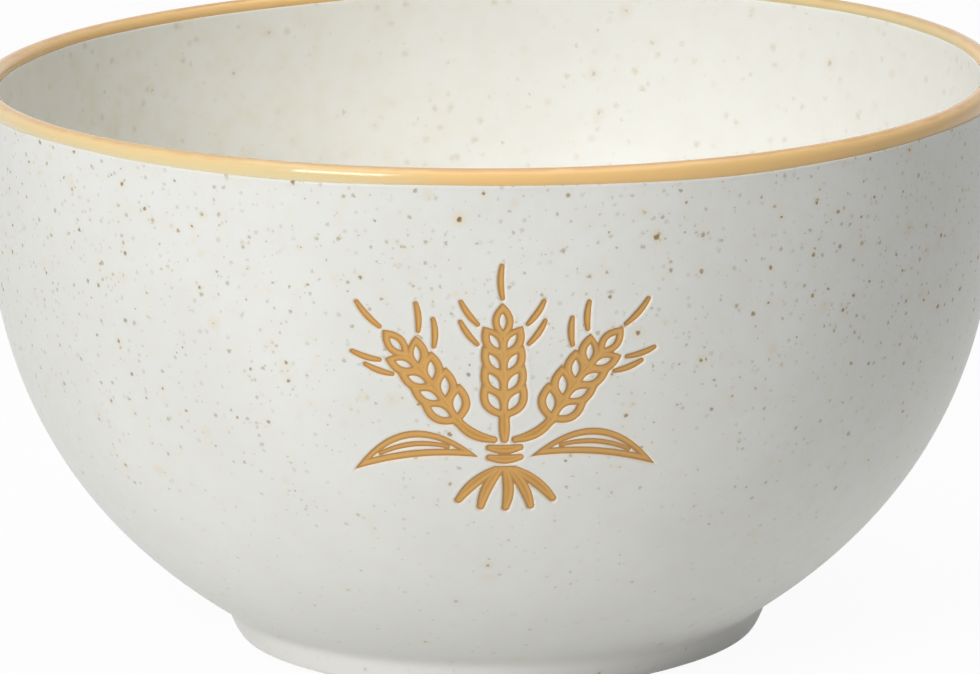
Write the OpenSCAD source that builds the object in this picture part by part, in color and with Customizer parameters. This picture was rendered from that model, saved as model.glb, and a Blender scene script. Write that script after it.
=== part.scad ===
// Footed stoneware bowl: one fired clay body with a white glaze inside and out, a caramel
// glaze round the lip, and a sheaf of wheat pressed into the front and filled with caramel glaze.
// Millimetres, +Z up. The origin is the centre of the foot's resting face, and the sheaf faces -Y.

/* [Bowl] */
// Widest diameter of the wall, over the glaze
bowl_d = 150; // [135:1:175]
// Height from the resting face to the crest of the lip
bowl_h = 84.3; // [76:0.1:96]
// Thickness of the lip, over both glazes
lip_t = 2.7; // [2.3:0.1:3.4]
// Height of the floor inside, over the glaze
floor_z = 9; // [8:0.1:12]
// Exponent of the wall's drop: higher keeps the upper wall upright for longer
wall_drop_curve = 3.07; // [2.7:0.01:3.4]
// Exponent of the wall's fullness: higher makes the belly rounder
wall_fullness = 1.45; // [1.3:0.01:1.6]
// Exponent of the drop inside
inner_drop_curve = 2; // [1.8:0.01:2.3]
// Exponent of the fullness inside: higher makes the floor flatter
inner_fullness = 3.9; // [3.2:0.1:4.4]

/* [Foot] */
// Diameter of the foot at the resting face, over the glaze
foot_base_d = 75.7; // [70:0.1:80]
// How much the foot widens on each side up to the wall
foot_flare = 2.75; // [1.5:0.05:4.5]
// Height at which the wall meets the foot
foot_h = 4.8; // [4.2:0.1:6.2]
// Exponent of the foot's side: lower rounds its bottom edge more
foot_side_curve = 0.5; // [0.4:0.01:0.7]
// Difference of radius over which wall and foot blend softly
foot_blend = 1; // [0.4:0.1:2.4]
// Width of the ring that the foot rests on, over the glaze
ring_w = 5.35; // [4:0.05:8]
// How much the hollow narrows on each side up to its ceiling
hollow_lean = 0.8; // [0.4:0.1:1.5]
// Height of the ceiling of the hollow
hollow_h = 4; // [3.2:0.1:4.6]

/* [Glaze] */
// Thickness of every glaze coat
glaze_t = 0.4; // [0.3:0.05:0.6]
// Bare clay left above the resting face
bare_h = 0.5; // [0.4:0.1:1]
// Depth of the caramel band below the crest, outside
band_out = 2.3; // [1.8:0.1:4]
// Depth of the caramel band below the crest, inside
band_in = 2.1; // [1.8:0.1:4]

/* [Sheaf] */
// Width of the sheaf, awn tip to awn tip
sheaf_w = 42; // [38:0.5:46]
// Height of the sheaf, stalk end to awn tip
sheaf_h = 36; // [33:0.5:39]
// Sideways place of its middle
sheaf_x = 1.3; // [-3:0.1:3]
// Drop from the crest of the lip to its middle
sheaf_drop = 31.7; // [29:0.1:34]
// Depth of the pressed lines below the white glaze
press_d = 0.8; // [0.6:0.05:1]
// How far the caramel glaze lies below the white glaze
fill_drop = 0.3; // [0.15:0.05:0.35]
// Length of a grain
grain_l = 5.6; // [5:0.1:6]
// Width of a grain
grain_w = 3; // [2.7:0.1:3.2]
// Line round a grain
grain_line = 0.8; // [0.6:0.05:0.9]
// Step from one pair of grains to the next
grain_pitch = 3; // [2.8:0.05:3.2]
// Width of a leaf
leaf_w = 3.8; // [3.4:0.1:4.2]
// Line round a leaf
leaf_line = 0.85; // [0.7:0.05:0.95]
// Thickness of a leaf's vein
vein_t = 0.6; // [0.5:0.05:0.7]
// Thickness of a stalk at its middle
stalk_t = 1.35; // [1:0.05:1.5]
// Thickness of a stalk at its ends
stalk_tip = 0.9; // [0.7:0.05:0.95]
// Thickness of the two turns of the tie
tie_t = 1.2; // [0.9:0.05:1.3]
// Thickness of the tie's ends
tie_tip = 0.8; // [0.6:0.05:0.85]
// Thickness of a leaf's vein at its tips
vein_tip = 0.45; // [0.35:0.05:0.5]
// Thickness of an awn at its middle
awn_t = 0.7; // [0.6:0.05:0.8]
// Thickness of an awn at its tips
awn_tip = 0.45; // [0.35:0.05:0.5]
// Length of the longest awn
awn_l = 4.6; // [4:0.1:5]
// White gap between a grain and its awn
awn_gap = 0.55; // [0.4:0.05:0.7]

/* [Hidden] */
$fn = 144;

bowl_r = bowl_d / 2;
lip_r = lip_t / 2;
foot_base_r = foot_base_d / 2;
foot_r = foot_base_r + foot_flare;
hollow_r = foot_base_r - ring_w;
band_z = bowl_h - band_out;
sheaf_z = bowl_h - sheaf_drop;
inner_top_r = bowl_r - lip_t;
inner_drop = bowl_h - floor_z;
overrun = lip_t;
reach = bowl_r + overrun;

// Steps of the outlines
line_steps = 6;
long_steps = 12;
foot_steps = 4;
wall_steps = 24;
wall_step_curve = 1.3;
inner_steps = 20;
lip_step = 15;
probe_share = 0.0005;
// Where the foot's side stops widening behind the wall, as a share of the foot's height
side_reach_share = 2;
inner_probe = 0.25;

// Shares of the sheaf's width and height, measured from its middle
middle_foot_shares = [0, -0.1];
side_foot_shares = [-0.152, -0.117];
middle_tie_shares = [0, -0.192];
side_tie_shares = [-0.036, -0.192];
side_stalk_bow_share = 0.018;
leaf_tip_shares = [-0.488, -0.325];
leaf_root_shares = [-0.093, -0.262];
leaf_bow_share = 0.07;
leaf_heart_share = 0.12;
leaf_vein_share = 0.22;
tie_height_shares = [-0.226, -0.268];
tie_half_share = 0.05;
tie_bow_share = 0.008;
stalk_top_share = -0.32;
stalk_top_spread_share = 0.016;
stalk_end_shares = [[-0.155, -0.452], [-0.082, -0.482], [0, -0.488], [0.082, -0.482], [0.155, -0.452]];
stalk_bow_share = 0.012;

// Ears, grains and awns
side_heading = 119;
side_bend = 13;
grain_tilt = 32;
grain_pairs = 4;
grain_taper_share = 0.14;
grain_shift_share = 0.05;
heart_inset_share = 1.5;
top_grain_share = 0.9;
top_rise_share = 0.85;
awn_pairs = 2;
awn_fan = 3;
awn_shift_share = 0.15;
axis_reach_share = 0.9;
axis_t_share = 1.35;
awn_shorter_share = 0.85;
awn_bow_share = 0.05;

awn_shift = awn_shift_share * grain_w;
axis_t = axis_t_share * grain_line;

// Outside of the glazed bowl: radius of the wall, of the foot's side, and of both blended
wall_drop = (bowl_h - foot_h) / pow(1 - pow(foot_r / bowl_r, wall_fullness), 1 / wall_drop_curve);
function wall_r(z) =
    bowl_r * pow(1 - pow(max(bowl_h - z, 0) / wall_drop, wall_drop_curve), 1 / wall_fullness);
function side_r(z) =
    foot_base_r + foot_flare * pow(min(max(z, 0) / foot_h, side_reach_share), foot_side_curve);
function soft_max(a, b, k) = max(a, b) + pow(max(k - abs(a - b), 0), 2) / (4 * k);
function outer_r(z) = soft_max(wall_r(z), side_r(z), foot_blend);

// A point of the outside at a height, taken a depth d into the wall
function outer_slope(z, h = bowl_h * probe_share) = (outer_r(z + h) - outer_r(z - h)) / (2 * h);
function outer_at(z, d) =
    let (slope = outer_slope(z)) [outer_r(z), z] - d * [1, -slope] / norm([1, slope]);

// A point of the lip at an angle, taken a depth d into it
function lip_at(a, d) =
    [bowl_r - lip_r + (lip_r - d) * cos(a), bowl_h - lip_r + (lip_r - d) * sin(a)];

// A point of the inside at an angle from the lip (0) to the middle of the floor (90)
function inner_p(u) = [inner_top_r * pow(cos(u), 2 / inner_fullness),
    bowl_h - inner_drop * pow(sin(u), 2 / inner_drop_curve)];
function inner_run(u) = inner_p(min(u + inner_probe, 90)) - inner_p(max(u - inner_probe, 0));
function inner_at(u, d) = let (t = inner_run(u)) inner_p(u) + d * [-t.y, t.x] / norm(t);
function inner_angle(depth) = asin(pow(depth / inner_drop, inner_drop_curve / 2));

// Heights and angles at which the outlines have their points
wall_zs = concat([for (i = [0 : foot_steps - 1]) bare_h + (foot_h - bare_h) * i / foot_steps],
    [for (i = [0 : wall_steps]) foot_h + (band_z - foot_h) * pow(i / wall_steps, wall_step_curve)]);
foot_z = bare_h / 2;
lip_z = bowl_h - lip_r;
lip_angles = [for (a = [lip_step : lip_step : 180 - lip_step]) a];
inner_lip_u = inner_angle(lip_r);
inner_band_u = inner_angle(band_in);
inner_us = [for (i = [0 : inner_steps - 1]) inner_band_u + (90 - inner_band_u) * i / inner_steps];

function backwards(v) = [for (i = [len(v) - 1 : -1 : 0]) v[i]];

// Outlines at a depth d below the glazed surface
function wall_line(d) = [for (z = wall_zs) outer_at(z, d)];
function lip_line(d) = concat([outer_at(lip_z, d)], [for (a = lip_angles) lip_at(a, d)],
    [inner_at(inner_lip_u, d)]);
function inner_line(d) = concat([for (u = inner_us) inner_at(u, d)], [[0, floor_z - d]]);
function hollow_at(z) = hollow_r - hollow_lean * z / hollow_h;

module coat(line, under) {
    rotate_extrude() polygon(concat(line, backwards(under)));
}

// All of the clay, drawn as its half section
module clay_section() {
    difference() {
        polygon(concat([[0, 0], [foot_base_r - glaze_t, 0], outer_at(foot_z, glaze_t)],
            wall_line(glaze_t), lip_line(glaze_t), inner_line(glaze_t)));
        polygon([[-overrun, -overrun], [hollow_at(-overrun), -overrun],
            [hollow_at(hollow_h), hollow_h], [-overrun, hollow_h]]);
    }
}

// A part of the wall between two depths, at the sheaf's heights
sheaf_reach = sheaf_h * 0.75;
sheaf_zs = [for (z = wall_zs) if (abs(z - sheaf_z) < sheaf_reach) z];
module wall_layer(near, far) {
    coat([for (z = sheaf_zs) outer_at(z, near)], [for (z = sheaf_zs) outer_at(z, far)]);
}

// The sheaf's lines are prisms in drawing space: x to the right, y up and z out through the wall
module on_wall() {
    translate([sheaf_x, 0, sheaf_z]) rotate([90, 0, 0]) children();
}
module inlay() {
    color([0.82, 0.62, 0.33]) intersection() {
        on_wall() children();
        wall_layer(fill_drop, press_d);
    }
}

// How far a curved edge has swollen at a share f of its run: 0 at both ends and 1 in the middle
function swell(f) = 4 * f * (1 - f);
function line_shares(steps) = [for (i = [0 : steps]) i / steps];
function inner_shares(steps) = [for (i = [1 : steps - 1]) i / steps];

module along(p, q) {
    translate(p) rotate(atan2(q.y - p.y, q.x - p.x)) children();
}

// Pen stroke from p to q: bowed to its left, t thick in the middle and tip thick near its ends
module stroke(p, q, bow, t, tip, steps = line_steps) {
    run = norm(q - p);
    half = tip / 2;
    more = (t - tip) / 2;
    along(p, q) linear_extrude(height = reach) polygon(concat([[-half, 0]],
        [for (f = line_shares(steps)) [run * f, half + (bow + more) * swell(f)]], [[run + half, 0]],
        backwards([for (f = line_shares(steps)) [run * f, -half + (bow - more) * swell(f)]])));
}

// Pointed blade from p to q: bowed to its left and w wide in the middle. A blade that cuts another
// runs past it by over at both ends of its depth
module blade(p, q, bow, w, steps = line_steps, over = 0) {
    run = norm(q - p);
    along(p, q) translate([0, 0, -over]) linear_extrude(height = reach + 2 * over)
        polygon(concat([for (f = line_shares(steps)) [run * f, (bow + w / 2) * swell(f)]],
            backwards([for (f = inner_shares(steps)) [run * f, (bow - w / 2) * swell(f)]])));
}

function turned(a) = [cos(a), sin(a)];
function sheaf_at(shares) = [shares.x * sheaf_w, shares.y * sheaf_h];

// Axis of an ear: an arc that turns by bend degrees over the ear's length
ear_l = grain_pitch * grain_pairs;
function axis_at(foot, heading, bend, along) =
    let (turn = bend * along / ear_l)
    foot + along * (turn == 0 ? 1 : sin(turn / 2) * 360 / (turn * PI)) * turned(heading + turn / 2);

// Each grain as [base point, heading, length, side], with side 0 at the top of the ear
function grains(foot, heading, bend) = concat(
    [for (i = [0 : grain_pairs - 1], side = [-1, 1])
        [axis_at(foot, heading, bend, i * grain_pitch), heading + bend * i / grain_pairs + side * grain_tilt,
        grain_l * (1 - grain_taper_share * i / grain_pairs), side]],
    [[axis_at(foot, heading, bend, (grain_pairs - 1 + top_rise_share) * grain_pitch), heading + bend,
        grain_l * top_grain_share, 0]]);

module grain_body(g) {
    blade(g[0], g[0] + g[2] * turned(g[1]), 0, grain_w * g[2] / grain_l);
}
module grain_heart(g) {
    inside = heart_inset_share * grain_line;
    shift = g[3] * grain_shift_share * grain_w * turned(g[1] - 90);
    blade(g[0] + inside * turned(g[1]) + shift, g[0] + (g[2] - inside) * turned(g[1]) + shift, 0,
        grain_w * g[2] / grain_l - 2 * grain_line, over = overrun);
}

// One ear with its stalk down to the tie and its thin axis between the grains
module ear(foot, heading, bend, tie_end, bow) {
    all = grains(foot, heading, bend);
    difference() {
        union() {
            for (g = all) grain_body(g);
            stroke(tie_end, foot + grain_line * turned(heading), bow, stalk_t, stalk_tip);
            for (i = [0 : grain_pairs - 1])
                stroke(axis_at(foot, heading, bend, i * grain_pitch),
                    axis_at(foot, heading, bend, (i + axis_reach_share) * grain_pitch), 0, axis_t, axis_t);
        }
        for (g = all) grain_heart(g);
    }
}

// Awns of one ear: one on its top grain and one on each grain of the upper pairs
module awns(foot, heading, bend) {
    all = grains(foot, heading, bend);
    for (k = [2 * (grain_pairs - awn_pairs) : len(all) - 1]) {
        g = all[k];
        side = g[3];
        l = awn_l * (side == 0 ? 1 : awn_shorter_share);
        start = g[0] + (g[2] + awn_gap + awn_tip / 2) * turned(g[1]) + side * awn_shift * turned(g[1] + 90);
        stroke(start, start + l * turned(g[1] + side * awn_fan), (side == 0 ? 1 : side) * awn_bow_share * l,
            awn_t, awn_tip);
    }
}

// Point of a bowed run at a share f of its way, and the bow of what is left between two such points
function bowed_at(p, q, bow, f) = p + f * (q - p) + bow * swell(f) * [p.y - q.y, q.x - p.x] / norm(q - p);
function inner_bow(bow, f) = bow * (1 - swell(f));

module leaf() {
    p = sheaf_at(leaf_tip_shares);
    q = sheaf_at(leaf_root_shares);
    bow = leaf_bow_share * sheaf_w;
    f = leaf_heart_share;
    v = leaf_vein_share;
    difference() {
        blade(p, q, bow, leaf_w, long_steps);
        blade(bowed_at(p, q, bow, f), bowed_at(p, q, bow, 1 - f), inner_bow(bow, f),
            leaf_w - 2 * leaf_line, long_steps, overrun);
    }
    stroke(bowed_at(p, q, bow, v), bowed_at(p, q, bow, 1 - v), inner_bow(bow, v), vein_t, vein_tip,
        long_steps);
}

module stalks() {
    middle = (len(stalk_end_shares) - 1) / 2;
    for (i = [0 : len(stalk_end_shares) - 1])
        stroke(sheaf_at([(i - middle) * stalk_top_spread_share, stalk_top_share]),
            sheaf_at(stalk_end_shares[i]), (i < middle ? -1 : 1) * stalk_bow_share * sheaf_h,
            stalk_t, stalk_tip);
}

module tie() {
    for (y = tie_height_shares)
        stroke(sheaf_at([tie_half_share, y]), sheaf_at([-tie_half_share, y]), tie_bow_share * sheaf_h,
            tie_t, tie_tip);
}

module flipped() mirror([1, 0, 0]) children();
module middle_ear() ear(sheaf_at(middle_foot_shares), 90, 0, sheaf_at(middle_tie_shares), 0);
module side_ear() ear(sheaf_at(side_foot_shares), side_heading, side_bend, sheaf_at(side_tie_shares),
    side_stalk_bow_share * sheaf_w);
module middle_awns() awns(sheaf_at(middle_foot_shares), 90, 0);
module side_awns() awns(sheaf_at(side_foot_shares), side_heading, side_bend);

// Every line of the sheaf
module whole_sheaf() {
    middle_ear();
    side_ear();
    flipped() side_ear();
    middle_awns();
    side_awns();
    flipped() side_awns();
    leaf();
    flipped() leaf();
    stalks();
    tie();
}

module clay_bowl() {
    color([0.80, 0.72, 0.60]) difference() {
        rotate_extrude() intersection() {
            clay_section();
            translate([0, hollow_h]) square([bowl_r, bowl_h]);
        }
        intersection() {
            on_wall() whole_sheaf();
            wall_layer(-overrun, press_d);
        }
    }
}
module foot_ring() {
    color([0.76, 0.67, 0.54]) rotate_extrude() intersection() {
        clay_section();
        square([bowl_r, hollow_h]);
    }
}
module outer_white_glaze() {
    color([0.93, 0.92, 0.89]) difference() {
        coat(wall_line(0), wall_line(glaze_t));
        on_wall() whole_sheaf();
    }
}
module inner_white_glaze() {
    color([0.95, 0.94, 0.91]) coat(inner_line(0), inner_line(glaze_t));
}
module base_white_glaze() {
    color([0.92, 0.91, 0.88])
        coat([[0, hollow_h - glaze_t], [hollow_at(hollow_h) - glaze_t, hollow_h - glaze_t],
                [hollow_at(bare_h) - glaze_t, bare_h]],
            [[0, hollow_h], [hollow_at(hollow_h), hollow_h], [hollow_at(bare_h), bare_h]]);
}
module rim_caramel_glaze() {
    color([0.89, 0.74, 0.50])
        coat(concat([outer_at(band_z, 0)], lip_line(0), [inner_at(inner_band_u, 0)]),
            concat([outer_at(band_z, glaze_t)], lip_line(glaze_t), [inner_at(inner_band_u, glaze_t)]));
}
module middle_ear_inlay() inlay() middle_ear();
module left_ear_inlay() inlay() side_ear();
module right_ear_inlay() inlay() flipped() side_ear();
module middle_awn_inlays() inlay() middle_awns();
module left_awn_inlays() inlay() side_awns();
module right_awn_inlays() inlay() flipped() side_awns();
module left_leaf_inlay() inlay() leaf();
module right_leaf_inlay() inlay() flipped() leaf();
module stalk_inlays() inlay() stalks();
module tie_inlays() inlay() tie();

clay_bowl();
foot_ring();
outer_white_glaze();
inner_white_glaze();
base_white_glaze();
rim_caramel_glaze();
middle_ear_inlay();
left_ear_inlay();
right_ear_inlay();
middle_awn_inlays();
left_awn_inlays();
right_awn_inlays();
left_leaf_inlay();
right_leaf_inlay();
stalk_inlays();
tie_inlays();
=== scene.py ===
"""A footed stoneware bowl with a speckled white glaze, a caramel lip and an inlaid wheat sheaf.

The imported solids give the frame. The glazes, the foot and the sheaf are built here again with
soft edges and pressed lines, from the same sizes. Sizes are in millimetres until a mesh is
finished, and each piece is then scaled to metres.
"""

import math

import bmesh
import bpy
import numpy as np
from mathutils import Matrix, Vector


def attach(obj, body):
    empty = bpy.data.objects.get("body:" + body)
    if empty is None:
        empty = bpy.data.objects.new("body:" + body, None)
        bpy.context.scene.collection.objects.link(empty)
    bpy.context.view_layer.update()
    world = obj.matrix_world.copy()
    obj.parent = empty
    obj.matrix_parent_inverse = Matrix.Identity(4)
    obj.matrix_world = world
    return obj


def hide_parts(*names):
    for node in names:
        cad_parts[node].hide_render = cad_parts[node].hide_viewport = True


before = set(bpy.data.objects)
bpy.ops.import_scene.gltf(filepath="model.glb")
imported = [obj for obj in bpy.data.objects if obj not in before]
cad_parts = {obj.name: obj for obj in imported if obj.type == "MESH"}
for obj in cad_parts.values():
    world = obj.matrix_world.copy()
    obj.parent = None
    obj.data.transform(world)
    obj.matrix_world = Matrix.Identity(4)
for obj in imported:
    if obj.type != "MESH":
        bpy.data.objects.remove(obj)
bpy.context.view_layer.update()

# Metres in a millimetre, and how close two points are, in millimetres, to be made one
MM = 0.001
SAME_PLACE = 0.002

# Sizes of the bowl
BOWL_R = 75.0
BOWL_H = 84.3
LIP_R = 1.35
FLOOR_Z = 9.0
WALL_DROP_CURVE = 3.07
WALL_FULLNESS = 1.45
INNER_DROP_CURVE = 2.0
INNER_FULLNESS = 3.9
INNER_TOP_R = BOWL_R - 2 * LIP_R
INNER_DROP = BOWL_H - FLOOR_Z
FOOT_BASE_R = 37.85
FOOT_FLARE = 2.75
FOOT_R = FOOT_BASE_R + FOOT_FLARE
FOOT_H = 4.8
FOOT_SIDE_CURVE = 0.5
FOOT_BLEND = 1.0
RING_W = 5.35
HOLLOW_R = FOOT_BASE_R - RING_W
HOLLOW_LEAN = 0.8
HOLLOW_H = 4.0
GLAZE = 0.4
BARE_H = 0.5
BAND_OUT = 2.3
BAND_IN = 2.1
BAND_Z = BOWL_H - BAND_OUT
WALL_DROP = (BOWL_H - FOOT_H) / (
    1 - (FOOT_R / BOWL_R) ** WALL_FULLNESS) ** (1 / WALL_DROP_CURVE)

# Sizes of the sheaf
SHEAF_W, SHEAF_H = 42.0, 36.0
SHEAF_X = 1.3
SHEAF_Z = BOWL_H - 31.7
PRESS_D = 0.66
FILL_D = 0.33
GRAIN_L, GRAIN_W, GRAIN_LINE, GRAIN_PITCH = 5.6, 3.0, 0.8, 3.0
LEAF_W, LEAF_LINE = 3.8, 0.85
VEIN_T, VEIN_TIP = 0.6, 0.45
STALK_T, STALK_TIP = 1.35, 0.9
TIE_T, TIE_TIP = 1.2, 0.8
AWN_T, AWN_TIP, AWN_L, AWN_GAP = 0.7, 0.45, 4.6, 0.55
SIDE_HEADING, SIDE_BEND = 119.0, 13.0
GRAIN_TILT = 32.0
GRAIN_PAIRS = 4
GRAIN_TAPER, TOP_GRAIN, TOP_DROP = 0.14, 0.9, 0.15
HEART_INSET, HEART_SHIFT = 1.5 * GRAIN_LINE, 0.05 * GRAIN_W
AXIS_T, AXIS_REACH = 1.35 * GRAIN_LINE, 0.9
AWN_SHORTER, AWN_SHIFT, AWN_FAN, AWN_BOW = 0.85, 0.15 * GRAIN_W, 3, 0.05
LEAF_BOW, LEAF_HEART_SHARE, LEAF_VEIN_SHARE = 0.07 * SHEAF_W, 0.12, 0.22
STALK_BOW, TIE_BOW, SIDE_STEM_BOW = 0.012 * SHEAF_H, 0.008 * SHEAF_H, 0.018 * SHEAF_W

# Softness of the sheaf: corners filled with glaze, the lip of a line, the bead beside it, and how
# the caramel glaze climbs the lip
LINE_FILL, HEART_FILL, CORNER_FILL, GROUP_FILL = 0.3, 0.1, 0.2, 0.2
LIP_FROM, LIP_TO = -0.24, 0.28
BEAD_H, BEAD_W, BEAD_OFF = 0.03, 0.2, 0.52
CLIMB_H, CLIMB_W = 0.15, 0.17

# Waves of the lip and of the caramel band's edges: height, how often they come round, and phase
LIP_SAG, SAG_FROM_Z = -0.2, 30
LIP_WAVES = ((0.42, 2, 0.0), (-0.1, 1, 0.0))
RIPPLE = ((0.03, 16, 4.0),)
OUTER_WAVES = RIPPLE + ((0.14, 7, 0.0), (-0.22, 1, math.pi / 2 - 0.17))
INNER_RISE = 0.4
INNER_WAVES = RIPPLE + ((0.05, 7, 2.1), (0.25, 1, math.pi / 2 - 0.8))
BAND_EDGE_REACH = 0.9


# Outlines of the bowl
def wall_r(z):
    drop = np.maximum(BOWL_H - z, 0) / WALL_DROP
    return BOWL_R * np.maximum(1 - drop ** WALL_DROP_CURVE, 0) ** (1 / WALL_FULLNESS)


def side_r(z):
    rise = np.minimum(np.maximum(z, 0) / FOOT_H, 2)
    return FOOT_BASE_R + FOOT_FLARE * rise ** FOOT_SIDE_CURVE


def outer_r(z):
    """Radius of the outside: wall and foot, blended softly where they meet."""
    wall, side = wall_r(z), side_r(z)
    near = np.maximum(FOOT_BLEND - np.abs(wall - side), 0)
    return np.maximum(wall, side) + near ** 2 / (4 * FOOT_BLEND)


def outer_at(z, depth):
    """Radius and height of points that lie a depth below the outside."""
    probe = 0.04
    slope = (outer_r(z + probe) - outer_r(z - probe)) / (2 * probe)
    size = np.sqrt(1 + slope ** 2)
    return outer_r(z) - depth / size, z + depth * slope / size


def inner_point(u):
    """Point of the inside, from the lip (0) to the middle of the floor (90 degrees)."""
    a = np.radians(u)
    return (INNER_TOP_R * np.maximum(np.cos(a), 0) ** (2 / INNER_FULLNESS),
            BOWL_H - INNER_DROP * np.maximum(np.sin(a), 0) ** (2 / INNER_DROP_CURVE))


def inner_at(u, depth):
    probe = 0.2
    r1, z1 = inner_point(min(u + probe, 90))
    r0, z0 = inner_point(max(u - probe, 0))
    size = math.hypot(r1 - r0, z1 - z0)
    r, z = inner_point(u)
    return r - depth * (z1 - z0) / size, z + depth * (r1 - r0) / size


def inner_angle(depth):
    return math.degrees(math.asin((depth / INNER_DROP) ** (INNER_DROP_CURVE / 2)))


def lip_at(angle, depth):
    a = math.radians(angle)
    return (BOWL_R - LIP_R + (LIP_R - depth) * math.cos(a),
            BOWL_H - LIP_R + (LIP_R - depth) * math.sin(a))


def spread(low, high, count):
    """count + 1 even values from low to high."""
    return [low + (high - low) * i / count for i in range(count + 1)]


def smooth(x, low, high):
    t = np.clip((x - low) / (high - low), 0, 1)
    return t * t * (3 - 2 * t)


# The pressed sheaf, as distances
def swell(f):
    return 4 * f * (1 - f)


class Line:
    """A pen line from p to q, bowed to its left, t wide in its middle and tip wide at its ends."""

    def __init__(self, p, q, bow, t, tip):
        self.p, self.bow, self.t, self.tip = np.array(p, float), bow, t, tip
        run = np.array(q, float) - self.p
        self.run = math.hypot(*run)
        self.ahead = run / self.run

    def flipped(self):
        q = self.p + self.ahead * self.run
        return Line((-self.p[0], self.p[1]), (-q[0], q[1]), -self.bow, self.t, self.tip)

    def distance(self, x, y):
        """Distance from the line's edge, less than zero inside it."""
        dx, dy = x - self.p[0], y - self.p[1]
        along = dx * self.ahead[0] + dy * self.ahead[1]
        left = dy * self.ahead[0] - dx * self.ahead[1]
        f = along / self.run
        if self.tip:
            f = np.clip(f, 0, 1)
        off = left - self.bow * swell(f)
        more = (self.t - self.tip) / 2
        turn = 4 * (1 - 2 * f) / self.run
        slope = self.bow * turn + np.sign(off) * more * turn
        side = (np.abs(off) - self.tip / 2 - more * swell(f)) / np.sqrt(1 + slope ** 2)
        if not self.tip:
            return side
        over = np.maximum(np.abs(along - self.run / 2) - self.run / 2, 0)
        return np.where(over > 0, np.hypot(over, left) - self.tip / 2, side)


def turned(a):
    return np.array([math.cos(math.radians(a)), math.sin(math.radians(a))])


def sheaf_at(x, y):
    return np.array([x * SHEAF_W, y * SHEAF_H])


def axis_at(foot, heading, bend, along):
    turn = bend * along / (GRAIN_PITCH * GRAIN_PAIRS)
    half = math.radians(turn / 2)
    return foot + along * (math.sin(half) / half if half else 1) * turned(heading + turn / 2)


def grains(foot, heading, bend):
    """Each grain as base point, heading, length and side."""
    found = []
    for i in range(GRAIN_PAIRS):
        for side in (-1, 1):
            found.append((axis_at(foot, heading, bend, i * GRAIN_PITCH),
                          heading + bend * i / GRAIN_PAIRS + side * GRAIN_TILT,
                          GRAIN_L * (1 - GRAIN_TAPER * i / GRAIN_PAIRS), side))
    top = (GRAIN_PAIRS - TOP_DROP) * GRAIN_PITCH
    found.append((axis_at(foot, heading, bend, top), heading + bend, GRAIN_L * TOP_GRAIN, 0))
    return found


def ear(foot, heading, bend, tie_end, bow):
    """Lines of one ear with its stalk and axis, and the white hearts left in its grains."""
    lines, hearts = [], []
    for base, way, size, side in grains(foot, heading, bend):
        wide = GRAIN_W * size / GRAIN_L
        lines.append(Line(base, base + size * turned(way), 0, wide, 0))
        shift = side * HEART_SHIFT * turned(way - 90)
        hearts.append(Line(base + HEART_INSET * turned(way) + shift,
                           base + (size - HEART_INSET) * turned(way) + shift, 0,
                           wide - 2 * GRAIN_LINE, 0))
    lines.append(Line(tie_end, foot + GRAIN_LINE * turned(heading), bow, STALK_T, STALK_TIP))
    for i in range(GRAIN_PAIRS):
        lines.append(Line(axis_at(foot, heading, bend, i * GRAIN_PITCH),
                          axis_at(foot, heading, bend, (i + AXIS_REACH) * GRAIN_PITCH), 0,
                          AXIS_T, AXIS_T))
    return lines, hearts


def awns(foot, heading, bend):
    """Awns of the two upper pairs of grains and of the top grain."""
    lines = []
    for base, way, size, side in grains(foot, heading, bend)[GRAIN_PAIRS:]:
        long = AWN_L * (AWN_SHORTER if side else 1)
        start = (base + (size + AWN_GAP + AWN_TIP / 2) * turned(way)
                 + side * AWN_SHIFT * turned(way + 90))
        lines.append(Line(start, start + long * turned(way + AWN_FAN * side),
                          (side or 1) * AWN_BOW * long, AWN_T, AWN_TIP))
    return lines, []


def bowed_at(p, q, bow, f):
    run = q - p
    return p + f * run + bow * swell(f) * np.array([-run[1], run[0]]) / math.hypot(*run)


def leaf():
    """A leaf's blade, the white left inside it and its vein."""
    p, q = sheaf_at(-0.488, -0.325), sheaf_at(-0.093, -0.262)

    def inside(f, t, tip):
        return Line(bowed_at(p, q, LEAF_BOW, f), bowed_at(p, q, LEAF_BOW, 1 - f),
                    LEAF_BOW * (1 - swell(f)), t, tip)

    return ([Line(p, q, LEAF_BOW, LEAF_W, 0)],
            [inside(LEAF_HEART_SHARE, LEAF_W - 2 * LEAF_LINE, 0)],
            [inside(LEAF_VEIN_SHARE, VEIN_T, VEIN_TIP)])


def stalks():
    ends = ((-0.155, -0.452), (-0.082, -0.482), (0, -0.488), (0.082, -0.482), (0.155, -0.452))
    return [Line(sheaf_at((i - 2) * 0.016, -0.32), sheaf_at(*end),
                 (-1 if i < 2 else 1) * STALK_BOW, STALK_T, STALK_TIP)
            for i, end in enumerate(ends)], []


def tie():
    return [Line(sheaf_at(0.05, y), sheaf_at(-0.05, y), TIE_BOW, TIE_T, TIE_TIP)
            for y in (-0.226, -0.268)], []


def flipped(group):
    return tuple([line.flipped() for line in lines] for lines in group)


MIDDLE_FOOT, SIDE_FOOT = sheaf_at(0, -0.1), sheaf_at(-0.152, -0.117)
SIDE_EAR = ear(SIDE_FOOT, SIDE_HEADING, SIDE_BEND, sheaf_at(-0.036, -0.192), SIDE_STEM_BOW)
SIDE_AWNS = awns(SIDE_FOOT, SIDE_HEADING, SIDE_BEND)
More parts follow.
